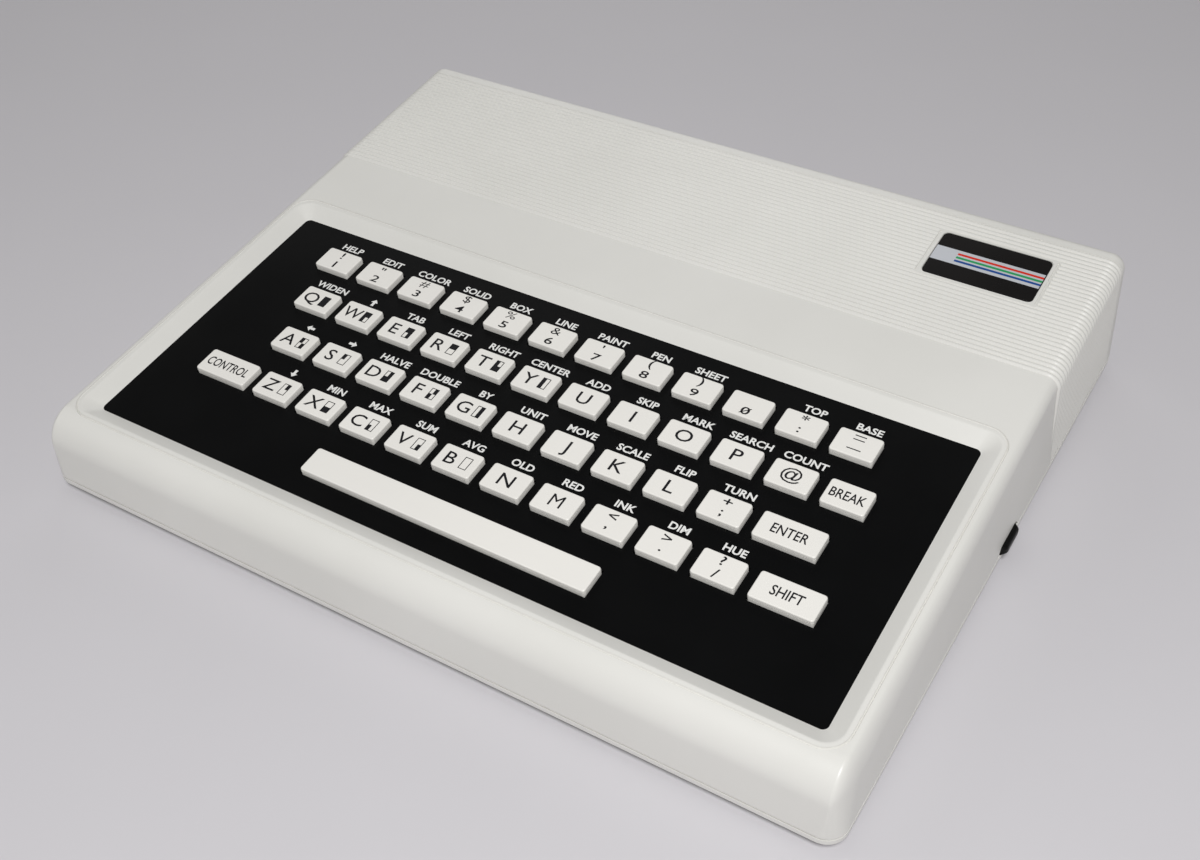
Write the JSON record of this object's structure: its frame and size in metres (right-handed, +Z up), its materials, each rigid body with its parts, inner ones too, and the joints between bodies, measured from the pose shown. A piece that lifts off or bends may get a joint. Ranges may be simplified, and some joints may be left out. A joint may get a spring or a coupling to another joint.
{
  "type": "home computer",
  "caption": "Wedge-shaped vintage home computer with ribbed off-white case, black key panel with small separate keys, and sockets at the back.",
  "frame": {"origin": "on the table under the middle of the case", "axes": "X to the right as seen by the user, Y to the back, Z up"},
  "size_m": [0.2172, 0.1782, 0.0394],
  "materials": {
    "case": "fine moulded texture, slightly satin, warm off-white",
    "panel": "satin black",
    "keys": "smooth satin cream",
    "feet": "matte black rubber",
    "mat": "matte grey silicone rubber",
    "board": "glass-fibre board under green solder resist",
    "sockets": "black moulded plastic with plated metal shells",
    "steel": "zinc-plated",
    "reset": "satin red"
  },
  "bodies": {
    "housing": {"upper_case": "case", "lower_case": "case", "rubber_feet": "feet", "screws": "steel", "key_panel": "panel", "dome_mat": "mat", "keyboard_board": "board", "main_board": "board", "rear_sockets": "sockets"},
    "key_1_body": {"key_1": "keys"},
    "key_2_body": {"key_2": "keys"},
    "key_3_body": {"key_3": "keys"},
    "key_4_body": {"key_4": "keys"},
    "key_5_body": {"key_5": "keys"},
    "key_6_body": {"key_6": "keys"},
    "key_7_body": {"key_7": "keys"},
    "key_8_body": {"key_8": "keys"},
    "key_9_body": {"key_9": "keys"},
    "key_0_body": {"key_0": "keys"},
    "key_colon_body": {"key_colon": "keys"},
    "key_minus_body": {"key_minus": "keys"},
    "key_q_body": {"key_q": "keys"},
    "key_w_body": {"key_w": "keys"},
    "key_e_body": {"key_e": "keys"},
    "key_r_body": {"key_r": "keys"},
    "key_t_body": {"key_t": "keys"},
    "key_y_body": {"key_y": "keys"},
    "key_u_body": {"key_u": "keys"},
    "key_i_body": {"key_i": "keys"},
    "key_o_body": {"key_o": "keys"},
    "key_p_body": {"key_p": "keys"},
    "key_at_body": {"key_at": "keys"},
    "key_break_body": {"key_break": "keys"},
    "key_a_body": {"key_a": "keys"},
    "key_s_body": {"key_s": "keys"},
    "key_d_body": {"key_d": "keys"},
    "key_f_body": {"key_f": "keys"},
    "key_g_body": {"key_g": "keys"},
    "key_h_body": {"key_h": "keys"},
    "key_j_body": {"key_j": "keys"},
    "key_k_body": {"key_k": "keys"},
    "key_l_body": {"key_l": "keys"},
    "key_semicolon_body": {"key_semicolon": "keys"},
    "key_enter_body": {"key_enter": "keys"},
    "key_control_body": {"key_control": "keys"},
    "key_z_body": {"key_z": "keys"},
    "key_x_body": {"key_x": "keys"},
    "key_c_body": {"key_c": "keys"},
    "key_v_body": {"key_v": "keys"},
    "key_b_body": {"key_b": "keys"},
    "key_n_body": {"key_n": "keys"},
    "key_m_body": {"key_m": "keys"},
    "key_comma_body": {"key_comma": "keys"},
    "key_period_body": {"key_period": "keys"},
    "key_slash_body": {"key_slash": "keys"},
    "key_shift_body": {"key_shift": "keys"},
    "key_space_body": {"key_space": "keys"},
    "power_button_body": {"power_button": "panel"},
    "reset_button_body": {"reset_button": "reset"},
    "channel_switch_body": {"channel_switch": "panel"}
  },
  "joints": [
    {"name": "key_1_press", "type": "slide", "parent": "housing", "child": "key_1_body", "axis": [0, 0.1028, -0.9947], "range_m": [0, 0.0015], "stiffness_N_per_m": 400, "deforming": ["dome_mat"]},
    {"name": "key_2_press", "type": "slide", "parent": "housing", "child": "key_2_body", "axis": [0, 0.1028, -0.9947], "range_m": [0, 0.0015], "stiffness_N_per_m": 400, "deforming": ["dome_mat"]},
    {"name": "key_3_press", "type": "slide", "parent": "housing", "child": "key_3_body", "axis": [0, 0.1028, -0.9947], "range_m": [0, 0.0015], "stiffness_N_per_m": 400, "deforming": ["dome_mat"]},
    {"name": "key_4_press", "type": "slide", "parent": "housing", "child": "key_4_body", "axis": [0, 0.1028, -0.9947], "range_m": [0, 0.0015], "stiffness_N_per_m": 400, "deforming": ["dome_mat"]},
    {"name": "key_5_press", "type": "slide", "parent": "housing", "child": "key_5_body", "axis": [0, 0.1028, -0.9947], "range_m": [0, 0.0015], "stiffness_N_per_m": 400, "deforming": ["dome_mat"]},
    {"name": "key_6_press", "type": "slide", "parent": "housing", "child": "key_6_body", "axis": [0, 0.1028, -0.9947], "range_m": [0, 0.0015], "stiffness_N_per_m": 400, "deforming": ["dome_mat"]},
    {"name": "key_7_press", "type": "slide", "parent": "housing", "child": "key_7_body", "axis": [0, 0.1028, -0.9947], "range_m": [0, 0.0015], "stiffness_N_per_m": 400, "deforming": ["dome_mat"]},
    {"name": "key_8_press", "type": "slide", "parent": "housing", "child": "key_8_body", "axis": [0, 0.1028, -0.9947], "range_m": [0, 0.0015], "stiffness_N_per_m": 400, "deforming": ["dome_mat"]},
    {"name": "key_9_press", "type": "slide", "parent": "housing", "child": "key_9_body", "axis": [0, 0.1028, -0.9947], "range_m": [0, 0.0015], "stiffness_N_per_m": 400, "deforming": ["dome_mat"]},
    {"name": "key_0_press", "type": "slide", "parent": "housing", "child": "key_0_body", "axis": [0, 0.1028, -0.9947], "range_m": [0, 0.0015], "stiffness_N_per_m": 400, "deforming": ["dome_mat"]},
    {"name": "key_colon_press", "type": "slide", "parent": "housing", "child": "key_colon_body", "axis": [0, 0.1028, -0.9947], "range_m": [0, 0.0015], "stiffness_N_per_m": 400, "deforming": ["dome_mat"]},
    {"name": "key_minus_press", "type": "slide", "parent": "housing", "child": "key_minus_body", "axis": [0, 0.1028, -0.9947], "range_m": [0, 0.0015], "stiffness_N_per_m": 400, "deforming": ["dome_mat"]},
    {"name": "key_q_press", "type": "slide", "parent": "housing", "child": "key_q_body", "axis": [0, 0.1028, -0.9947], "range_m": [0, 0.0015], "stiffness_N_per_m": 400, "deforming": ["dome_mat"]},
    {"name": "key_w_press", "type": "slide", "parent": "housing", "child": "key_w_body", "axis": [0, 0.1028, -0.9947], "range_m": [0, 0.0015], "stiffness_N_per_m": 400, "deforming": ["dome_mat"]},
    {"name": "key_e_press", "type": "slide", "parent": "housing", "child": "key_e_body", "axis": [0, 0.1028, -0.9947], "range_m": [0, 0.0015], "stiffness_N_per_m": 400, "deforming": ["dome_mat"]},
    {"name": "key_r_press", "type": "slide", "parent": "housing", "child": "key_r_body", "axis": [0, 0.1028, -0.9947], "range_m": [0, 0.0015], "stiffness_N_per_m": 400, "deforming": ["dome_mat"]},
    {"name": "key_t_press", "type": "slide", "parent": "housing", "child": "key_t_body", "axis": [0, 0.1028, -0.9947], "range_m": [0, 0.0015], "stiffness_N_per_m": 400, "deforming": ["dome_mat"]},
    {"name": "key_y_press", "type": "slide", "parent": "housing", "child": "key_y_body", "axis": [0, 0.1028, -0.9947], "range_m": [0, 0.0015], "stiffness_N_per_m": 400, "deforming": ["dome_mat"]},
    {"name": "key_u_press", "type": "slide", "parent": "housing", "child": "key_u_body", "axis": [0, 0.1028, -0.9947], "range_m": [0, 0.0015], "stiffness_N_per_m": 400, "deforming": ["dome_mat"]},
    {"name": "key_i_press", "type": "slide", "parent": "housing", "child": "key_i_body", "axis": [0, 0.1028, -0.9947], "range_m": [0, 0.0015], "stiffness_N_per_m": 400, "deforming": ["dome_mat"]},
    {"name": "key_o_press", "type": "slide", "parent": "housing", "child": "key_o_body", "axis": [0, 0.1028, -0.9947], "range_m": [0, 0.0015], "stiffness_N_per_m": 400, "deforming": ["dome_mat"]},
    {"name": "key_p_press", "type": "slide", "parent": "housing", "child": "key_p_body", "axis": [0, 0.1028, -0.9947], "range_m": [0, 0.0015], "stiffness_N_per_m": 400, "deforming": ["dome_mat"]},
    {"name": "key_at_press", "type": "slide", "parent": "housing", "child": "key_at_body", "axis": [0, 0.1028, -0.9947], "range_m": [0, 0.0015], "stiffness_N_per_m": 400, "deforming": ["dome_mat"]},
    {"name": "key_break_press", "type": "slide", "parent": "housing", "child": "key_break_body", "axis": [0, 0.1028, -0.9947], "range_m": [0, 0.0015], "stiffness_N_per_m": 400, "deforming": ["dome_mat"]},
    {"name": "key_a_press", "type": "slide", "parent": "housing", "child": "key_a_body", "axis": [0, 0.1028, -0.9947], "range_m": [0, 0.0015], "stiffness_N_per_m": 400, "deforming": ["dome_mat"]},
    {"name": "key_s_press", "type": "slide", "parent": "housing", "child": "key_s_body", "axis": [0, 0.1028, -0.9947], "range_m": [0, 0.0015], "stiffness_N_per_m": 400, "deforming": ["dome_mat"]},
    {"name": "key_d_press", "type": "slide", "parent": "housing", "child": "key_d_body", "axis": [0, 0.1028, -0.9947], "range_m": [0, 0.0015], "stiffness_N_per_m": 400, "deforming": ["dome_mat"]},
    {"name": "key_f_press", "type": "slide", "parent": "housing", "child": "key_f_body", "axis": [0, 0.1028, -0.9947], "range_m": [0, 0.0015], "stiffness_N_per_m": 400, "deforming": ["dome_mat"]},
    {"name": "key_g_press", "type": "slide", "parent": "housing", "child": "key_g_body", "axis": [0, 0.1028, -0.9947], "range_m": [0, 0.0015], "stiffness_N_per_m": 400, "deforming": ["dome_mat"]},
    {"name": "key_h_press", "type": "slide", "parent": "housing", "child": "key_h_body", "axis": [0, 0.1028, -0.9947], "range_m": [0, 0.0015], "stiffness_N_per_m": 400, "deforming": ["dome_mat"]},
    {"name": "key_j_press", "type": "slide", "parent": "housing", "child": "key_j_body", "axis": [0, 0.1028, -0.9947], "range_m": [0, 0.0015], "stiffness_N_per_m": 400, "deforming": ["dome_mat"]},
    {"name": "key_k_press", "type": "slide", "parent": "housing", "child": "key_k_body", "axis": [0, 0.1028, -0.9947], "range_m": [0, 0.0015], "stiffness_N_per_m": 400, "deforming": ["dome_mat"]},
    {"name": "key_l_press", "type": "slide", "parent": "housing", "child": "key_l_body", "axis": [0, 0.1028, -0.9947], "range_m": [0, 0.0015], "stiffness_N_per_m": 400, "deforming": ["dome_mat"]},
    {"name": "key_semicolon_press", "type": "slide", "parent": "housing", "child": "key_semicolon_body", "axis": [0, 0.1028, -0.9947], "range_m": [0, 0.0015], "stiffness_N_per_m": 400, "deforming": ["dome_mat"]},
    {"name": "key_enter_press", "type": "slide", "parent": "housing", "child": "key_enter_body", "axis": [0, 0.1028, -0.9947], "range_m": [0, 0.0015], "stiffness_N_per_m": 400, "deforming": ["dome_mat"]},
    {"name": "key_control_press", "type": "slide", "parent": "housing", "child": "key_control_body", "axis": [0, 0.1028, -0.9947], "range_m": [0, 0.0015], "stiffness_N_per_m": 400, "deforming": ["dome_mat"]},
    {"name": "key_z_press", "type": "slide", "parent": "housing", "child": "key_z_body", "axis": [0, 0.1028, -0.9947], "range_m": [0, 0.0015], "stiffness_N_per_m": 400, "deforming": ["dome_mat"]},
    {"name": "key_x_press", "type": "slide", "parent": "housing", "child": "key_x_body", "axis": [0, 0.1028, -0.9947], "range_m": [0, 0.0015], "stiffness_N_per_m": 400, "deforming": ["dome_mat"]},
    {"name": "key_c_press", "type": "slide", "parent": "housing", "child": "key_c_body", "axis": [0, 0.1028, -0.9947], "range_m": [0, 0.0015], "stiffness_N_per_m": 400, "deforming": ["dome_mat"]},
    {"name": "key_v_press", "type": "slide", "parent": "housing", "child": "key_v_body", "axis": [0, 0.1028, -0.9947], "range_m": [0, 0.0015], "stiffness_N_per_m": 400, "deforming": ["dome_mat"]},
    {"name": "key_b_press", "type": "slide", "parent": "housing", "child": "key_b_body", "axis": [0, 0.1028, -0.9947], "range_m": [0, 0.0015], "stiffness_N_per_m": 400, "deforming": ["dome_mat"]},
    {"name": "key_n_press", "type": "slide", "parent": "housing", "child": "key_n_body", "axis": [0, 0.1028, -0.9947], "range_m": [0, 0.0015], "stiffness_N_per_m": 400, "deforming": ["dome_mat"]},
    {"name": "key_m_press", "type": "slide", "parent": "housing", "child": "key_m_body", "axis": [0, 0.1028, -0.9947], "range_m": [0, 0.0015], "stiffness_N_per_m": 400, "deforming": ["dome_mat"]},
    {"name": "key_comma_press", "type": "slide", "parent": "housing", "child": "key_comma_body", "axis": [0, 0.1028, -0.9947], "range_m": [0, 0.0015], "stiffness_N_per_m": 400, "deforming": ["dome_mat"]},
    {"name": "key_period_press", "type": "slide", "parent": "housing", "child": "key_period_body", "axis": [0, 0.1028, -0.9947], "range_m": [0, 0.0015], "stiffness_N_per_m": 400, "deforming": ["dome_mat"]},
    {"name": "key_slash_press", "type": "slide", "parent": "housing", "child": "key_slash_body", "axis": [0, 0.1028, -0.9947], "range_m": [0, 0.0015], "stiffness_N_per_m": 400, "deforming": ["dome_mat"]},
    {"name": "key_shift_press", "type": "slide", "parent": "housing", "child": "key_shift_body", "axis": [0, 0.1028, -0.9947], "range_m": [0, 0.0015], "stiffness_N_per_m": 400, "deforming": ["dome_mat"]},
    {"name": "key_space_press", "type": "slide", "parent": "housing", "child": "key_space_body", "axis": [0, 0.1028, -0.9947], "range_m": [0, 0.0015], "stiffness_N_per_m": 400, "deforming": ["dome_mat"]},
    {"name": "power_press", "type": "slide", "parent": "housing", "child": "power_button_body", "axis": [-1, 0, 0], "range_m": [0, 0.001], "stiffness_N_per_m": 800},
    {"name": "reset_press", "type": "slide", "parent": "housing", "child": "reset_button_body", "axis": [0, -1, 0], "range_m": [0, 0.0008], "stiffness_N_per_m": 800},
    {"name": "channel_slide", "type": "slide", "parent": "housing", "child": "channel_switch_body", "axis": [1, 0, 0], "range_m": [0, 0.003]}
  ]
}
